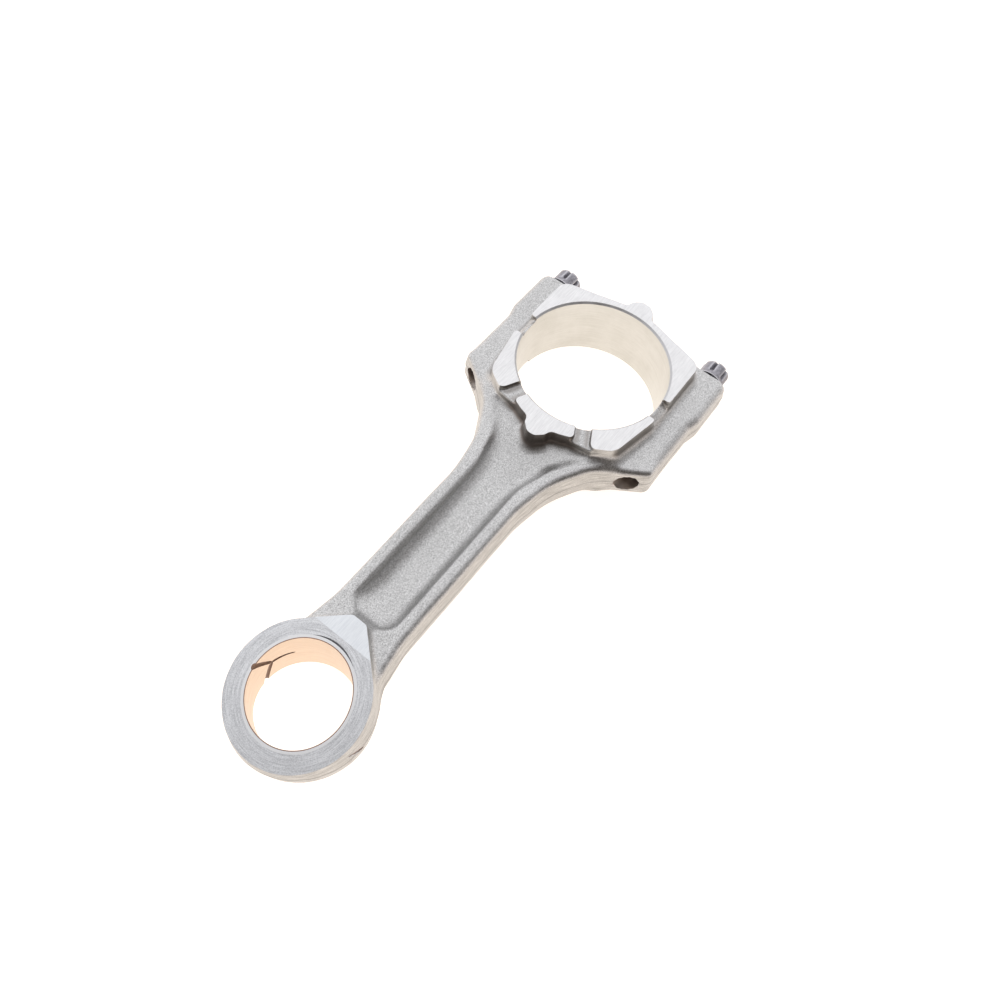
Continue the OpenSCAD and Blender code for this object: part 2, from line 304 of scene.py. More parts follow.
def net(field, origin, step):
    """Surface net of the zero level: one vertex in each crossed cell, one quad over each crossed edge."""
    inside = field < 0
    shape = np.array(field.shape) - 1
    shifted = [inside[tuple(slice(o, o + n) for o, n in zip(c, shape))] for c in CORNERS]
    count = sum(part.astype(np.int8) for part in shifted)
    cells = np.argwhere((count > 0) & (count < 8))
    index = np.full(shape, -1, np.int64)
    index[tuple(cells.T)] = np.arange(len(cells))
    total = np.zeros((len(cells), 3))
    hits = np.zeros(len(cells))
    for c in CORNERS:
        for axis in range(3):
            if c[axis]:
                continue
            d = list(c)
            d[axis] = 1
            f0 = field[tuple((cells + c).T)].astype(float)
            f1 = field[tuple((cells + d).T)].astype(float)
            on = (f0 < 0) != (f1 < 0)
            t = np.where(on, f0 / np.where(on, f0 - f1, 1), 0)
            crossing = np.tile(np.array(c, float), (len(cells), 1))
            crossing[:, axis] += t
            total[on] += crossing[on]
            hits += on
    verts = cells + total / hits[:, None]
    faces = []
    for axis in range(3):
        a, b = [(1, 2), (2, 0), (0, 1)][axis]
        lo = [slice(1, -1)] * 3
        lo[axis] = slice(0, -1)
        hi = list(lo)
        hi[axis] = slice(1, None)
        f0, f1 = inside[tuple(lo)], inside[tuple(hi)]
        for flip, mask in ((False, f0 & ~f1), (True, f1 & ~f0)):
            e = np.argwhere(mask)
            e += [0 if i == axis else 1 for i in range(3)]
            ring = []
            for da, db in ((-1, -1), (0, -1), (0, 0), (-1, 0)):
                q = e.copy()
                q[:, a] += da
                q[:, b] += db
                ring.append(index[tuple(q.T)])
            quad = np.stack(ring, 1)
            faces.append(quad[:, ::-1] if flip else quad)
    return origin + verts * step, np.concatenate(faces)


def sample(field, origin, step, points):
    """The field and its gradient at points, by linear interpolation."""
    g = (points - origin) / step
    i = np.clip(np.floor(g).astype(int), 0, np.array(field.shape) - 2)
    t = g - i
    value = np.zeros(len(points))
    slope = np.zeros((len(points), 3))
    for c in CORNERS:
        f = field[tuple((i + c).T)].astype(float)
        w = [t[:, n] if c[n] else 1 - t[:, n] for n in range(3)]
        value += f * w[0] * w[1] * w[2]
        for n in range(3):
            m, o = [q for q in range(3) if q != n]
            slope[:, n] += f * (1 if c[n] else -1) * w[m] * w[o] / step
    return value, slope


def mesh_object(name, verts, faces):
    """An object in the scene from places in mm."""
    mesh = bpy.data.meshes.new(name)
    mesh.from_pydata((np.asarray(verts) * MM).tolist(), [], [tuple(map(int, f)) for f in faces])
    mesh.validate()
    ob = bpy.data.objects.new(name, mesh)
    bpy.context.scene.collection.objects.link(ob)
    return ob


def forged_skin():
    """The forging's mesh, and a function that tells how much dark scale and painted shade its surface gets at
    given points.
    """
    x, y, z, field = forging()
    field = unfold(unfold(field, 1), 2)
    # the lower die is fuller at the boss edges and at the shoulder ends
    across = np.abs(np.concatenate([-y[::-1], y]))[None, :, None]
    below = ramp(np.concatenate([z[::-1], -z]), 0.5, 5)[None, None, :]
    along = x[:, None, None]
    fuller = np.maximum(ramp(across, 31, 34), ramp(across, 21, 26) * ramp(along, 12, 18))
    fuller = fuller * (1 - ramp(along, 30, 38))
    field = field - 0.8 * fuller * below
    # forged surfaces are a little uneven, in long waves and in short ones
    rng = np.random.default_rng(7)
    field = field + 0.10 * waves(field.shape, 24, rng) + 0.035 * waves(field.shape, 5, rng)
    origin = np.array([x[0], -y[-1], -z[-1]])
    verts, faces = net(field, origin, STEP)
    # pull the net onto the zero level
    for _ in range(3):
        value, slope = sample(field, origin, STEP, verts)
        steep = np.maximum((slope ** 2).sum(1), 0.2)[:, None]
        verts = verts - np.clip(value, -0.3, 0.3)[:, None] * slope / steep
    skin = mesh_object("forging", verts, faces)
    outward(skin)

    def scale_and_painted_shade_at(points, normals):
        """Dark scale with painted shade: most where other metal is near above the surface, then on the nub's
        walls and the pads' sides.
        """
        reach = 4.0
        x, aside, level = points[:, 0], np.abs(points[:, 1]), np.abs(points[:, 2])
        upright = 1 - np.abs(normals[:, 2])
        concave = 1 - sample(field, origin, STEP, points + normals * reach)[0] / reach
        nub = ramp(x, 27, 31) * (1 - ramp(x, 39, 43)) * (1 - ramp(aside, 12, 18))
        nub *= ramp(upright, 0.05, 0.45) * ramp(level, 4, 6)
        pad_side = ramp(np.abs(normals[:, 1]), 0.6, 0.9) * ramp(level, 7, 9.5) * ramp(aside, 19, 22)
        return concave * ramp(level, 5, 7.5) + 0.5 * pad_side + 0.65 * nub
    return skin, scale_and_painted_shade_at


# ---------------------------------------------------------------- machining
def box_cutter(name, lo, hi):
    """A box between two corners."""
    (ax, ay, az), (bx, by, bz) = lo, hi
    verts = [(x, y, z) for x in (ax, bx) for y in (ay, by) for z in (az, bz)]
    faces = [(0, 1, 3, 2), (4, 6, 7, 5), (0, 4, 5, 1), (2, 3, 7, 6), (0, 2, 6, 4), (1, 5, 7, 3)]
    return mesh_object(name, verts, faces)


FINE, COARSE = 256, 64  # steps round a bore and round a bolt hole


def turned(name, profile, centre, axis="Z", steps=FINE):
    """A closed solid of revolution about an axis through centre. profile is (radius, height), low to high."""
    verts, faces = [], []
    n = len(profile)
    for k in range(steps):
        a = 2 * math.pi * k / steps
        for r, h in profile:
            if axis == "Z":
                verts.append((centre[0] + r * math.cos(a), centre[1] + r * math.sin(a), centre[2] + h))
            else:
                verts.append((centre[0] + h, centre[1] + r * math.cos(a), centre[2] + r * math.sin(a)))
    for k in range(steps):
        m = (k + 1) % steps
        for i in range(n - 1):
            faces.append((k * n + i, m * n + i, m * n + i + 1, k * n + i + 1))
    faces.append([k * n for k in reversed(range(steps))])
    faces.append([k * n + n - 1 for k in range(steps)])
    return mesh_object(name, verts, faces)


def outward(ob):
    """Turns every face of a closed mesh outwards."""
    bm = bmesh.new()
    bm.from_mesh(ob.data)
    bmesh.ops.recalc_face_normals(bm, faces=bm.faces)
    if bm.calc_volume(signed=True) < 0:
        bmesh.ops.reverse_faces(bm, faces=bm.faces)
    bm.to_mesh(ob.data)
    bm.free()


def tube(name, rings):
    """A closed tube through rings of points, all with the same number of points."""
    around = len(rings[0])
    faces = []
    for i in range(len(rings) - 1):
        low, high = i * around, (i + 1) * around
        for k in range(around):
            m = (k + 1) % around
            faces.append((low + k, high + k, high + m, low + m))
    last = (len(rings) - 1) * around
    faces.append(range(around))
    faces.append([last + k for k in reversed(range(around))])
    return mesh_object(name, [point for ring in rings for point in ring], faces)


def cut(ob, cutter):
    """Takes cutter away from ob, and out of the scene."""
    outward(cutter)
    m = ob.modifiers.new("cut", "BOOLEAN")
    m.operation = "DIFFERENCE"
    m.solver = "MANIFOLD"
    m.object = cutter
    mesh = bpy.data.meshes.new_from_object(ob.evaluated_get(bpy.context.evaluated_depsgraph_get()))
    ob.modifiers.clear()
    old = ob.data
    ob.data = mesh
    bpy.data.meshes.remove(old)
    bpy.data.objects.remove(cutter)


def bore_cutter(name, centre, r, half, chamfer, reach):
    """A bore through faces at half above and below centre, with an edge break that runs on past each face."""
    wide = r + chamfer + reach
    profile = [(wide, -half - reach), (r, -half + chamfer), (r, half - chamfer), (wide, half + reach)]
    return turned(name, profile, centre)


def slope_cutter(side):
    """The wedge of stock over the small end's sloped face on one side: 1 is the top and -1 the underside."""
    x0, x1 = length - slope_start, length + 40
    z0, z1 = half_t, half_t - slope_k * (x1 - x0)
    profile = [(x0, z0), (x1, z1), (x1, BEYOND_Z), (x0, BEYOND_Z)]
    verts = [(x, y, side * z) for y in (-60, 60) for x, z in profile]
    faces = [(0, 1, 2, 3), (7, 6, 5, 4), (0, 4, 5, 1), (1, 5, 6, 2), (2, 6, 7, 3), (3, 7, 4, 0)]
    if side < 0:
        faces = [f[::-1] for f in faces]
    return mesh_object("slope", verts, faces)


def groove_cutter(a, b, ra, rb, wall, steps=24, around=20):
    """A flattened bar with round ends, laid along an eye wall from a to b, both (degrees, z).

    Its radius goes from ra to rb, and its middle lies at the radius wall round the pin's axis.
    """
    rings = []
    run = math.radians(b[0] - a[0]) * wall
    rise = b[1] - a[1]
    size = math.hypot(run, rise)

    def closing(i):
        """How far the bar has opened i rings from one end."""
        return math.sqrt(max(0.02, 1 - max(0, 1 - i / 3) ** 2))

    for i in range(steps + 1):
        t = i / steps
        r = (ra + (rb - ra) * t) * (closing(i) * closing(steps - i))
        angle = math.radians(a[0] + (b[0] - a[0]) * t)
        out = np.array([math.cos(angle), math.sin(angle), 0])
        along = np.array([-math.sin(angle) * run, math.cos(angle) * run, rise]) / size
        side = np.cross(out, along)
        centre = np.array([length, 0, a[1] + rise * t]) + out * wall
        turns = [2 * math.pi * k / around for k in range(around)]
        rings.append([centre + (out * math.cos(w) * 0.8 + side * math.sin(w)) * r for w in turns])
    return tube("groove", rings)


# boxes that hold all of one half of the forging, and a height well above it
CAP_SIDE = ((-100, -100, -50), (0, 100, 50))
ROD_SIDE = ((0, -100, -50), (300, 100, 50))
BEYOND_Z = 30


def half_forging(skin, name, other_half):
    """A copy of the forging without its other half, with the thrust faces and the big-end bore machined."""
    ob = skin.copy()
    ob.data = skin.data.copy()
    ob.name = name
    bpy.context.scene.collection.objects.link(ob)
    cut(ob, box_cutter("half", *other_half))
    for s in (1, -1):
        lo, hi = sorted((s * half_t, s * BEYOND_Z))
        cut(ob, box_cutter("face", (-400, -400, lo), (400, 400, hi)))
    cut(ob, bore_cutter("big_bore", (0, 0, 0), big_r, half_t, big_chamfer, 1.5))
    return ob


def make_rod(skin):
    """The rod: sloped small-end faces, the tool mark, the bush's seat and both tapped holes."""
    rod = half_forging(skin, "rod_forging", CAP_SIDE)
    for s in (1, -1):
        cut(rod, slope_cutter(s))
    cut(rod, groove_cutter(*GOUGE))
    mouth = eye_z + slope_k * bush_r
    cut(rod, bore_cutter("eye_bore", (length, 0, 0), bush_r, mouth, eye_chamfer, 3))
    tapped = [(tapped_r, -5)]
    for k in range(THREAD_POINTS):
        tapped.append((tapped_r + THREAD_DEPTH * (k % 2), THREAD_START + THREAD_PITCH / 2 * k))
    for s in (1, -1):
        cut(rod, turned("tapped", tapped, (0, s * bolt_y, 0), "X", COARSE))
    return rod


def make_cap(skin):
    """The cap: both bolt holes and the spot faces of the bolt seats."""
    cap = half_forging(skin, "bearing_cap", ROD_SIDE)
    for s in (1, -1):
        cut(cap, turned("hole", [(cap_hole_r, -50), (cap_hole_r, 5)], (0, s * bolt_y, 0), "X", COARSE))
        cut(cap, turned("seat", [(seat_r, seat_x - 20), (seat_r, seat_x)], (0, s * bolt_y, 0), "X", 96))
    return cap


def make_bush():
    """The bush: a plain sleeve cut off by the small end's sloped faces, with a branched oil groove."""
    centre = (length, 0, 0)
    bush = turned("bush_body", [(bush_r, -half_t - 1), (bush_r, half_t + 1)], centre)
    outward(bush)
    cut(bush, turned("bore", [(pin_r, -half_t - 2), (pin_r, half_t + 2)], centre))
    for s in (1, -1):
        cut(bush, slope_cutter(s))
    for groove in OIL_GROOVES:
        cut(bush, groove_cutter(*groove))
    return bush


# ---------------------------------------------------------------- bolts
LOBES, LOBE_R, VALLEY_DEPTH = 6, 5.04, 1.3
CONE_START = 5.3                            # where the head's cone starts, before the seat
CORE_R, CREST_DEPTH, CREST_START = 3.42, 0.56, 0.6


def bolt_radius(x, a, turn):
    """Radius of the bolt at x and angle a, in mm. turn is the angle of one valley between lobes, in degrees."""
    seat, end = seat_x, head_x
    valley = ramp(np.cos(LOBES * (a - math.radians(turn))), 0.45, 1.0)
    lobes = LOBE_R - VALLEY_DEPTH * valley
    lobes = np.minimum(lobes, np.interp(x, [end, end + 0.15, end + 0.8], [4.2, 4.65, 5.1]))
    # cone and flange under the lobes
    before = [CONE_START, 4.4, 2.7, 1.6, 1.2, 0.7, 0.6, 0]
    cone = np.interp(x, [seat - b for b in before], [3.3, 4.1, 5.0, 5.3, 5.95, 6.0, 5.0, 5.0])
    head = np.where(x < seat - CONE_START, lobes, np.maximum(lobes, cone))
    # helical thread that fades in and out, on a shank with a fitted collar at the parting plane
    phase = (x - a / (2 * math.pi)) % THREAD_PITCH
    thread = CORE_R + CREST_DEPTH * np.clip(1.2 - np.abs(phase - 0.5) * 3.2, 0, 1)
    fade = np.clip((x - CREST_START) / 1.2, 0, 1) * np.clip((tip_x - CREST_START - x) / 1.6, 0, 1)
    shank = np.interp(x, [seat, seat + 0.5, -4.3, -4, -0.3, 0, 0.4, tip_x - 1.1, tip_x],
                      [3.9, 3.6, 3.6, 4.1, 4.1, 3.7, 3.45, 3.45, 2.75])
    shank = np.where(x > CREST_START, shank + (thread - shank) * fade * (thread > shank), shank)
    return np.where(x <= seat, head, shank)


def make_bolt(name, y, turn):
    """A bolt at y. Its rings lie closer together where the radius changes fast."""
    xs = [head_x, head_x + 0.12, head_x + 0.25, head_x + 0.4, head_x + 0.6, head_x + 0.85]
    xs += list(np.arange(head_x + 1.1, seat_x - 0.1, 0.2)) + [seat_x - 0.1, seat_x]
    xs += [seat_x + 0.001, seat_x + 0.2, seat_x + 0.5, -16, -4.3, -4.0, -2, -0.3, 0, 0.4]
    xs += list(np.arange(0.6, tip_x - 1.1, 0.125)) + [tip_x - 1.1, tip_x - 0.5, tip_x]
    around = 96
    angles = np.arange(around) * 2 * math.pi / around
    dish = [(head_x + 0.35, 0.6), (head_x + 0.35, 2.3), (head_x, 2.75)]
    radii = [(x, np.full(around, r)) for x, r in dish]
    radii += [(x, bolt_radius(np.array(x), angles, turn)) for x in xs]
    ob = tube(name, [[(x, y + q * math.cos(a), q * math.sin(a)) for q, a in zip(r, angles)] for x, r in radii])
    outward(ob)
    return ob


# ---------------------------------------------------------------- materials
def add(tree, kind, props=None, **inputs):
    """A node with its properties set. An input takes a value, or the output socket that feeds it.

    An input is given by its label, or by an underscore and its number.
    """
    node = tree.nodes.new("ShaderNode" + kind)
    for key, value in (props or {}).items():
        setattr(node, key, value)
    for key, value in inputs.items():
        socket = node.inputs[int(key[1:])] if key[0] == "_" else node.inputs[key.replace("_", " ")]
        if isinstance(value, bpy.types.NodeSocket):
            tree.links.new(value, socket)
        else:
            socket.default_value = value
    return node


def calc(tree, operation, a, b=0.0):
    return add(tree, "Math", {"operation": operation}, _0=a, _1=b).outputs[0]


def times(tree, a, b):
    return calc(tree, "MULTIPLY", a, b)


def plus(tree, a, b):
    return calc(tree, "ADD", a, b)


def height_part(tree, vector):
    """Size of a vector's z part, without its sign."""
    return calc(tree, "ABSOLUTE", add(tree, "SeparateXYZ", Vector=vector).outputs["Z"])


def noise(tree, vector, scale, detail=2.0, rough=0.5):
    return add(tree, "TexNoise", Vector=vector, Scale=scale, Detail=detail, Roughness=rough).outputs["Fac"]


def span(tree, value, lo, hi, out_lo=0.0, out_hi=1.0):
    """value from lo..hi to out_lo..out_hi, held at both ends."""
    node = add(tree, "MapRange", Value=value, From_Min=lo, From_Max=hi, To_Min=out_lo, To_Max=out_hi)
    return node.outputs[0]


def uneven(tree, value, low=0.8, high=1.2):
    """Roughness factor that follows a noise, whose values mostly lie between 0.3 and 0.7."""
    return span(tree, value, 0.3, 0.7, low, high)


def tint(tree, factor, dark, light):
    """Colour that runs from dark to light as factor goes from 0 to 1. Each is a colour or an output socket."""
    dark, light = ((*c, 1) if isinstance(c, tuple) else c for c in (dark, light))
    return add(tree, "Mix", {"data_type": "RGBA"}, Factor=factor, _6=dark, _7=light).outputs[2]


def on_object(tree):
    """Places on the object, in metres of the shared frame."""
    return add(tree, "TexCoord").outputs["Object"]


def stretched(tree, vector, scale, turn=0):
    """vector turned about Z by turn degrees and scaled along each axis."""
    return add(tree, "Mapping", Vector=vector, Rotation=(0, 0, math.radians(turn)), Scale=scale).outputs[0]


def eye_rings(tree, vector):
    """Coordinates that change fast with distance from the pin's axis, slowly otherwise, and that distance."""
    fast, slow = 3600, 160
    moved = add(tree, "VectorMath", {"operation": "SUBTRACT"}, _0=vector, _1=(length * MM, 0, 0)).outputs[0]
    flat = add(tree, "VectorMath", {"operation": "MULTIPLY"}, _0=moved, _1=(1, 1, 0)).outputs[0]
    radius = add(tree, "VectorMath", {"operation": "LENGTH"}, _0=flat).outputs["Value"]
    x, y, _ = add(tree, "SeparateXYZ", Vector=moved).outputs
    x, y, radial = times(tree, x, slow), times(tree, y, slow), times(tree, radius, fast)
    return add(tree, "CombineXYZ", X=radial, Y=x, Z=y).outputs[0], radius


def finish_material(name, rough, metal, build):
    """A metal whose build(tree) gives (colour socket, roughness factor socket, bump height socket, bump mm)."""
    m = bpy.data.materials.new(name)
    m.use_nodes = True
    tree = m.node_tree
    shader = tree.nodes["Principled BSDF"]
    shader.inputs["Metallic"].default_value = metal
    colour, factor, height, depth = build(tree)
    tree.links.new(colour, shader.inputs["Base Color"])
    tree.links.new(times(tree, factor, rough), shader.inputs["Roughness"])
    bump = add(tree, "Bump", Height=height, Distance=depth * MM, Strength=1.0)
    tree.links.new(bump.outputs[0], shader.inputs["Normal"])
    return m


def forged(tree):
    """Shot-peened steel, with streaked walls tinted by a painted warm bounce light, and dark scale with painted
    shade in hollows and on some walls.
    """
    p = on_object(tree)
    fine = noise(tree, p, 4200, 1.0)
    pits = noise(tree, p, 1900, 2.0, 0.6)
    cloud = noise(tree, p, 60, 3.0)
    mixed = plus(tree, times(tree, fine, 0.55), times(tree, pits, 0.45))
    level = plus(tree, times(tree, span(tree, mixed, 0.35, 0.65), 0.8), times(tree, cloud, 0.2))

    # walls that stand up from the parting line of the dies
    up = height_part(tree, add(tree, "NewGeometry").outputs["Normal"])
    wall = span(tree, up, 0.25, 0.5, 0.6, 0.0)
    streaks = noise(tree, stretched(tree, p, (180, 180, 3000)), 1.0, 3.0, 0.6)
    streaks = span(tree, streaks, 0.35, 0.65, 0.05, 0.88)
    level = add(tree, "Mix", Factor=wall, _2=level, _3=streaks).outputs[0]

    # scale left on both edges of the trimmed flash land
    off = calc(tree, "ABSOLUTE", calc(tree, "SUBTRACT", height_part(tree, p), FLASH_EDGE * MM))
    off = plus(tree, off, times(tree, cloud, 0.5 * MM))
    line = times(tree, span(tree, off, 0.30 * MM, 0.48 * MM, 1.0, 0.0), wall)
    level = times(tree, level, calc(tree, "SUBTRACT", 1.0, times(tree, line, 1.4)))

    steel = tint(tree, level, (0.23, 0.227, 0.225), (0.76, 0.757, 0.755))
    # upright walls turn warmer: painted bounce light from the warm floor, over the walls' own streaks
    painted_warm_bounce = tint(tree, level, (0.25, 0.24, 0.215), (0.79, 0.77, 0.72))
    # dark scale with painted shade in hollows and on the nub's walls and the pads' sides, from the per-vertex
    # attribute
    scale = add(tree, "Attribute", {"attribute_name": "scale_and_painted_shade"}).outputs["Fac"]
    scale = span(tree, plus(tree, scale, times(tree, mixed, 0.5)), 0.45, 0.95, 0.0, 0.85)
    colour = tint(tree, scale, tint(tree, wall, steel, painted_warm_bounce), (0.17, 0.135, 0.115))
    return colour, uneven(tree, pits, 0.85, 1.15), mixed, 0.06


def milled(turn, dark, light):
    """Cutter lines at one angle in plan, with scuffs."""
    def build(tree):
        p = on_object(tree)
        lines = noise(tree, stretched(tree, p, (260, 3200, 900), turn), 1.0, 2.0, 0.6)
        scuffs = noise(tree, p, 160, 4.0, 0.6)
        level = span(tree, plus(tree, lines, times(tree, scuffs, 0.6)), 0.5, 1.1)
        return tint(tree, level, dark, light), uneven(tree, scuffs), lines, 0.012
    return build


def ring_face(tree):
    """Lines turned round the pin's axis, with fine spots."""
    p = on_object(tree)
    lines = noise(tree, eye_rings(tree, p)[0], 1.0, 2.0, 0.6)
    spots = noise(tree, p, 3000, 2.0)
    level = span(tree, plus(tree, lines, spots), 0.75, 1.25)
    return tint(tree, level, (0.49, 0.497, 0.515), (0.80, 0.81, 0.83)), uneven(tree, spots), lines, 0.012


def bore_face(tree):
    """Honing lines along the circumference, with soft stains."""
    p = on_object(tree)
    lines = noise(tree, stretched(tree, p, (120, 120, 2600)), 1.0, 3.0, 0.6)
    stains = noise(tree, p, 70, 4.0, 0.65)
    level = span(tree, plus(tree, times(tree, lines, 0.5), stains), 0.5, 1.0)
    return tint(tree, level, (0.63, 0.625, 0.575), (0.78, 0.775, 0.735)), uneven(tree, stains), lines, 0.008


def bronze(tree):
    """Lines along the circumference, with spots."""
    p = on_object(tree)
    lines = noise(tree, stretched(tree, p, (140, 140, 2400)), 1.0, 3.0, 0.6)
    spots = noise(tree, p, 500, 3.0, 0.7)
    level = span(tree, plus(tree, lines, times(tree, spots, 0.5)), 0.45, 1.0)
    colour = tint(tree, level, (0.80, 0.62, 0.46), (0.92, 0.77, 0.62))
    return colour, uneven(tree, spots, 0.8, 1.25), lines, 0.008


def grainy(scale, detail, rough, dark, light, depth):
    """One noise drives the colour, the roughness and the bump."""
    def build(tree):
        grain = noise(tree, on_object(tree), scale, detail, rough)
        return tint(tree, grain, dark, light), uneven(tree, grain), grain, depth
    return build


def hole_face(tree):
    """Thread-like waves under oil stains."""
    p = on_object(tree)
    wave = add(tree, "TexWave", {"bands_direction": "X"}, Vector=p, Scale=50.0, Distortion=0.2).outputs["Fac"]
    oil = noise(tree, p, 300, 3.0)
    return tint(tree, oil, (0.40, 0.34, 0.30), (0.80, 0.74, 0.69)), uneven(tree, oil, 0.7, 1.3), wave, 0.3


def bush_end(tree):
    """The bush's steel back, with a dark line inside: the lining's edge in painted shadow."""
    vector, radius = eye_rings(tree, on_object(tree))
    lines = noise(tree, vector, 1.0, 2.0)
    steel = tint(tree, lines, (0.66, 0.665, 0.675), (0.90, 0.90, 0.91))
    # dark brown ring round the bore: painted shadow on the lining's edge
    lining_in_painted_shadow = tint(tree, lines, (0.20, 0.11, 0.08), (0.36, 0.21, 0.15))
    inner = span(tree, radius, (pin_r + 0.22) * MM, (pin_r + 0.30) * MM, 1.0, 0.0)
    return tint(tree, inner, steel, lining_in_painted_shadow), uneven(tree, lines), lines, 0.01


def phosphate(tree):
    """A dark coat that is worn bright on crests, with a painted highlight there too, and near black in valleys
    as painted shade.
    """
    p = on_object(tree)
    grain = noise(tree, p, 1400, 3.0, 0.6)
    level = span(tree, plus(tree, grain, noise(tree, p, 260, 3.0)), 0.7, 1.3)
    coat = tint(tree, level, (0.13, 0.125, 0.138), (0.42, 0.41, 0.45))
    crest = add(tree, "NewGeometry").outputs["Pointiness"]
    # crests lighter: wear with a painted highlight
    coat = tint(tree, span(tree, crest, 0.505, 0.56, 0.0, 0.8), coat, (0.70, 0.69, 0.72))
    # valleys near black: painted shade
    coat = tint(tree, span(tree, crest, 0.44, 0.495, 0.8, 0.0), coat, (0.05, 0.048, 0.052))
    return coat, uneven(tree, grain), grain, 0.06


THRUST_FACE = milled(-23, (0.60, 0.597, 0.603), (0.77, 0.767, 0.772))
NOSE_FACE = milled(35, (0.58, 0.60, 0.63), (0.73, 0.75, 0.77))
RIM_FACE = grainy(400, 2.0, 0.5, (0.50, 0.50, 0.51), (0.70, 0.70, 0.72), 0.01)
# the eye bore's chamfer is near black: painted shade and a painted dark reflection
DARK_CHAMFER_PAINTED_SHADE = grainy(400, 2.0, 0.5, (0.20, 0.20, 0.21), (0.36, 0.36, 0.38), 0.01)
BREAK_FACE = grainy(700, 8.0, 0.75, (0.20, 0.20, 0.21), (0.60, 0.59, 0.58), 0.5)
GROOVE_FACE = grainy(600, 3.0, 0.5, (0.22, 0.14, 0.11), (0.52, 0.38, 0.31), 0.05)

# finish of a face: material name, roughness, metallic, and what builds its nodes
FINISHES = {
    "forged": finish_material("shot_peened_steel", 0.38, 0.92, forged),
    "thrust": finish_material("milled_thrust_face", 0.36, 0.9, THRUST_FACE),
    "ring": finish_material("turned_eye_face", 0.42, 0.9, ring_face),
    "nose": finish_material("milled_nose_face", 0.38, 0.9, NOSE_FACE),
    "bore": finish_material("honed_bore", 0.34, 0.9, bore_face),
    "rim": finish_material("bore_chamfer", 0.50, 0.55, RIM_FACE),
    "edge": finish_material("chamfer", 0.40, 0.9, DARK_CHAMFER_PAINTED_SHADE),
    "hole": finish_material("tapped_hole", 0.45, 0.8, hole_face),
    "break": finish_material("fracture", 0.55, 0.9, BREAK_FACE),
    "bronze": finish_material("bush_bronze", 0.38, 0.85, bronze),
    "groove": finish_material("oil_groove", 0.60, 0.5, GROOVE_FACE),
    "bush_end": finish_material("bush_end", 0.40, 0.9, bush_end),
    "bolt": finish_material("phosphated_steel", 0.42, 0.8, phosphate),
}


def steel_finish(c, n):
    """Which finish each face of the rod or cap has, from its middle c and normal n in mm. Later rules win."""
    x, y, z = c.T
    nx, ny, nz = n.T
    up, level = np.abs(nz), np.abs(z)
    big = np.hypot(x, y)
    eye = np.hypot(x - length, y)
    bolt = np.hypot(np.abs(y) - bolt_y, z)
    inward = (nx * x + ny * y) < 0
    inward_eye = (nx * (x - length) + ny * y) < 0
    # in a bolt hole's wall the normal times the place from its axis is minus the hole's radius
    inward_bolt = (ny * (np.abs(y) - bolt_y) * np.sign(y) + nz * z) < -2.7
    upright = up < 0.2
    slanted = (up > 0.5) & (up < 0.9)
    flat = (level > half_t - 0.01) & (up > 0.999)
    sloped = np.abs(slope_k * nx + np.sign(z) * nz) / math.hypot(slope_k, 1) > 0.9999
    on_slope = np.abs(level - (half_t - slope_k * (x - length + slope_start))) < 0.02
    # the tool mark: near its two ends and clearly below the eye's drafted outer wall
    (first, top), (last, bottom) = GOUGE[:2]
    angle = np.degrees(np.arctan2(y, x - length))
    round_gouge = (angle > first - 2) & (angle < last + 2) & (z > bottom - 1) & (z < top + 1)
    sunk = (eye > bush_r + 2) & (eye < EYE_R + EYE_DRAFT * (half_t - z) - 0.19)

    out = np.full(len(c), "forged", dtype="<U8")
    out[sloped & on_slope & (x > length - slope_start)] = "ring"
    out[flat] = "thrust"
    out[flat & (x > length - 40)] = "nose"
    out[(big < big_r + 0.02) & upright & inward] = "bore"
    out[(big > big_r - 0.01) & (big < big_r + big_chamfer + 0.02) & slanted & inward & (level > 11)] = "rim"
    out[(eye < bush_r + 0.02) & upright] = "bore"
    # eye bore chamfer, whose dark colour is painted shade
    out[(eye > bush_r - 0.1) & (eye < bush_r + 4) & slanted & inward_eye & (level > eye_z)] = "edge"
    out[inward_bolt & (np.abs(nx) < 0.6) & (bolt < cap_hole_r + 0.01)] = "hole"
    out[round_gouge & sunk] = "groove"
    out[(nx < -0.999) & (np.abs(x - seat_x) < 0.01)] = "nose"
    out[(np.abs(nx) > 0.999) & (np.abs(x) < 0.01)] = "break"
    return out


def bush_finish(c, n):
    """The same for the bush: what is neither bore, back nor end is the oil groove."""
    r = np.hypot(c[:, 0] - length, c[:, 1])
    up = np.abs(n[:, 2])
    out = np.full(len(c), "groove", dtype="<U8")
    out[(r < pin_r + 0.01) & (up < 0.2)] = "bronze"
    out[(r > bush_r - 0.05) | (up > 0.9)] = "bush_end"
    return out


def bolt_finish(c, n):
    return np.full(len(c), "bolt")


def values(items, attribute, width=1, kind=float):
    """One attribute of every item of a mesh, as an array with a row for each item."""
    out = np.zeros(len(items) * width, kind)
    items.foreach_get(attribute, out)
    return out.reshape(-1, width) if width > 1 else out


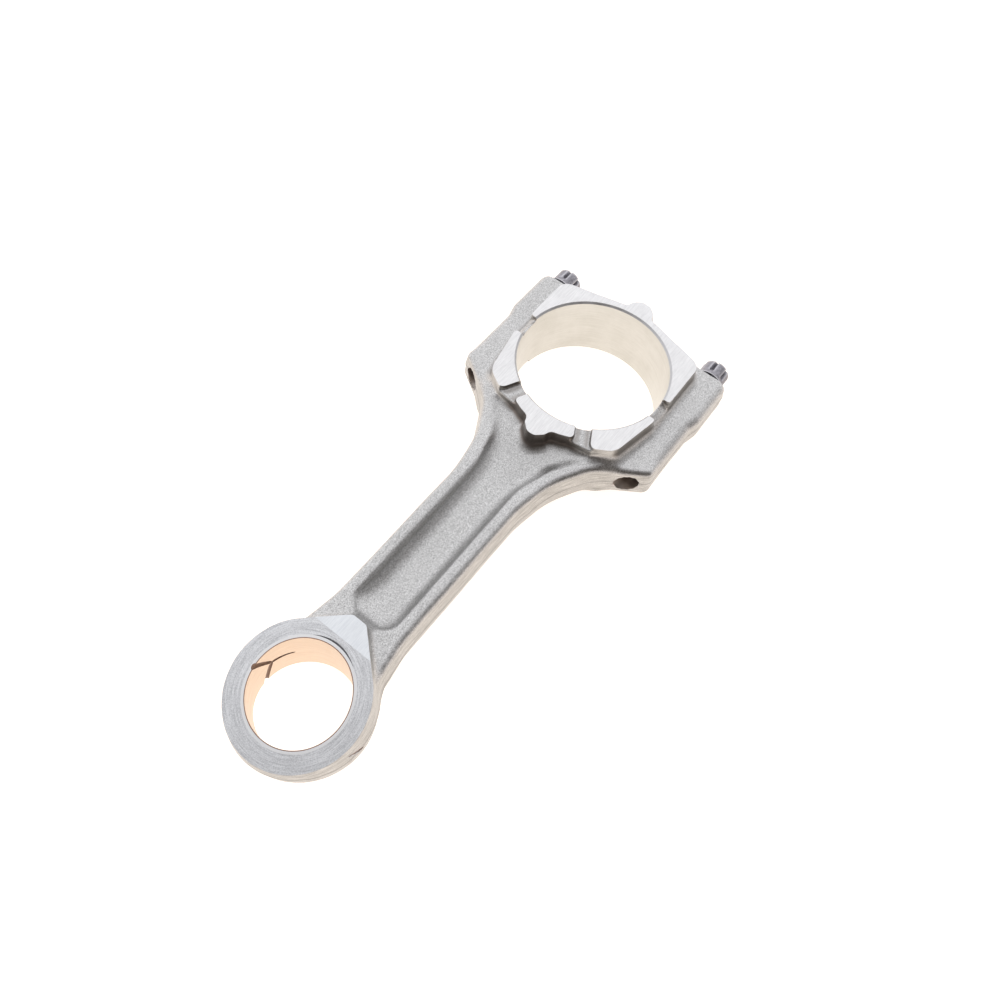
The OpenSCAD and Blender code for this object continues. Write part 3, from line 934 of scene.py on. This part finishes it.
def dress(ob, finish_of, node, scale_and_painted_shade_at=None):
    """Gives each face its finish, keeps edges sharp where finishes meet, and ties the piece to the frame."""
    mesh = ob.data
    kinds = finish_of(values(mesh.polygons, "center", 3) / MM, values(mesh.polygons, "normal", 3))
    used = [k for k in FINISHES if k in set(kinds)]
    mesh.materials.clear()
    for k in used:
        mesh.materials.append(FINISHES[k])
    index = np.array([used.index(k) for k in kinds], np.int32)
    mesh.polygons.foreach_set("material_index", index)
    mesh.shade_smooth()

    edge = values(mesh.loops, "edge_index", kind=np.int32)
    finish = np.repeat(index, values(mesh.polygons, "loop_total", kind=np.int32))
    low = np.full(len(mesh.edges), len(used))
    high = np.full(len(mesh.edges), -1)
    np.minimum.at(low, edge, finish)
    np.maximum.at(high, edge, finish)
    mesh.attributes.new("sharp_edge", "BOOLEAN", "EDGE").data.foreach_set("value", low != high)
    if scale_and_painted_shade_at:
        # how much dark scale and painted shade each vertex gets
        places = values(mesh.vertices, "co", 3) / MM
        scale = np.clip(scale_and_painted_shade_at(places, values(mesh.vertices, "normal", 3)), 0, 1)
        mesh.attributes.new("scale_and_painted_shade", "FLOAT", "POINT").data.foreach_set("value", scale)
    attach(ob, "root")
    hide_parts(node)


skin, scale_and_painted_shade_at = forged_skin()
dress(make_rod(skin), steel_finish, "rod", scale_and_painted_shade_at)
dress(make_cap(skin), steel_finish, "cap", scale_and_painted_shade_at)
bpy.data.objects.remove(skin)
bush = make_bush()
dress(bush, bush_finish, "bush")
bush.data.set_sharp_from_angle(angle=math.radians(30))
for name, y, turn in (("bolt_left", -bolt_y, 36), ("bolt_right", bolt_y, 43)):
    ob = make_bolt("cap_" + name, y, turn)
    dress(ob, bolt_finish, name)
    ob.data.set_sharp_from_angle(angle=math.radians(40))


# ---------------------------------------------------------------- stage
FLOOR_HALF = 9                              # metres
PAPER_GREY = (0.35, 0.35, 0.35, 1)
PAPER_GLOW, PAPER_GLOW_STRENGTH = (1.0, 0.905, 0.83, 1), 1.08
CAMERA_PLACE, CAMERA_TARGET, CAMERA_ROLL = (0.17019, 0.06674, 0.24017), (0.0572, 0.0041, 0.0), math.radians(9.4)
CAMERA_SENSOR, CAMERA_LENS = 36, 29.93
DARK_SIDE = (0.72, 0.69, 0)                 # where the world's dark side lies
WORLD_LIGHT, WORLD_DARK = (1.3, 1.3, 1.32), (0.09, 0.075, 0.065)


def look_matrix(place, target, roll):
    """Matrix of a camera at place that looks at target, rolled about its view axis."""
    back = (Vector(place) - Vector(target)).normalized()
    m = back.to_track_quat("Z", "Y").to_matrix().to_4x4() @ Matrix.Rotation(roll, 4, "Z")
    m.translation = Vector(place)
    return m


# a floor that gives off light of its own, so that it renders as plain white
floor_z = cad_box[0][2]
corners = [(x * FLOOR_HALF, y * FLOOR_HALF, floor_z) for x, y in ((-1, -1), (1, -1), (1, 1), (-1, 1))]
floor_mesh = bpy.data.meshes.new("floor")
floor_mesh.from_pydata(corners, [], [(0, 1, 2, 3)])
floor = bpy.data.objects.new("floor", floor_mesh)
bpy.context.scene.collection.objects.link(floor)
paper = bpy.data.materials.new("white_paper")
paper.use_nodes = True
shader = paper.node_tree.nodes["Principled BSDF"]
shader.inputs["Base Color"].default_value = PAPER_GREY
shader.inputs["Roughness"].default_value = 0.9
shader.inputs["Emission Color"].default_value = PAPER_GLOW
shader.inputs["Emission Strength"].default_value = PAPER_GLOW_STRENGTH
floor.data.materials.append(paper)

camera = bpy.data.cameras.new("camera")
camera.sensor_width = CAMERA_SENSOR
camera.lens = CAMERA_LENS
camera_ob = bpy.data.objects.new("camera", camera)
camera_ob.matrix_world = look_matrix(CAMERA_PLACE, CAMERA_TARGET, CAMERA_ROLL)
bpy.context.scene.collection.objects.link(camera_ob)
bpy.context.scene.camera = camera_ob

# light from all round but one dark side; what the camera itself sees of the world is white
world = bpy.data.worlds.new("world")
bpy.context.scene.world = world
world.use_nodes = True
sky = world.node_tree
way = add(sky, "TexCoord").outputs["Generated"]
toward = add(sky, "VectorMath", {"operation": "DOT_PRODUCT"}, _0=way, _1=DARK_SIDE).outputs["Value"]
light = tint(sky, span(sky, toward, -0.2, 0.55), WORLD_LIGHT, WORLD_DARK)
seen = add(sky, "LightPath").outputs["Is Camera Ray"]
sky.links.new(tint(sky, seen, light, (1, 1, 1)), sky.nodes["Background"].inputs["Color"])
bpy.context.scene.view_settings.view_transform = "Standard"
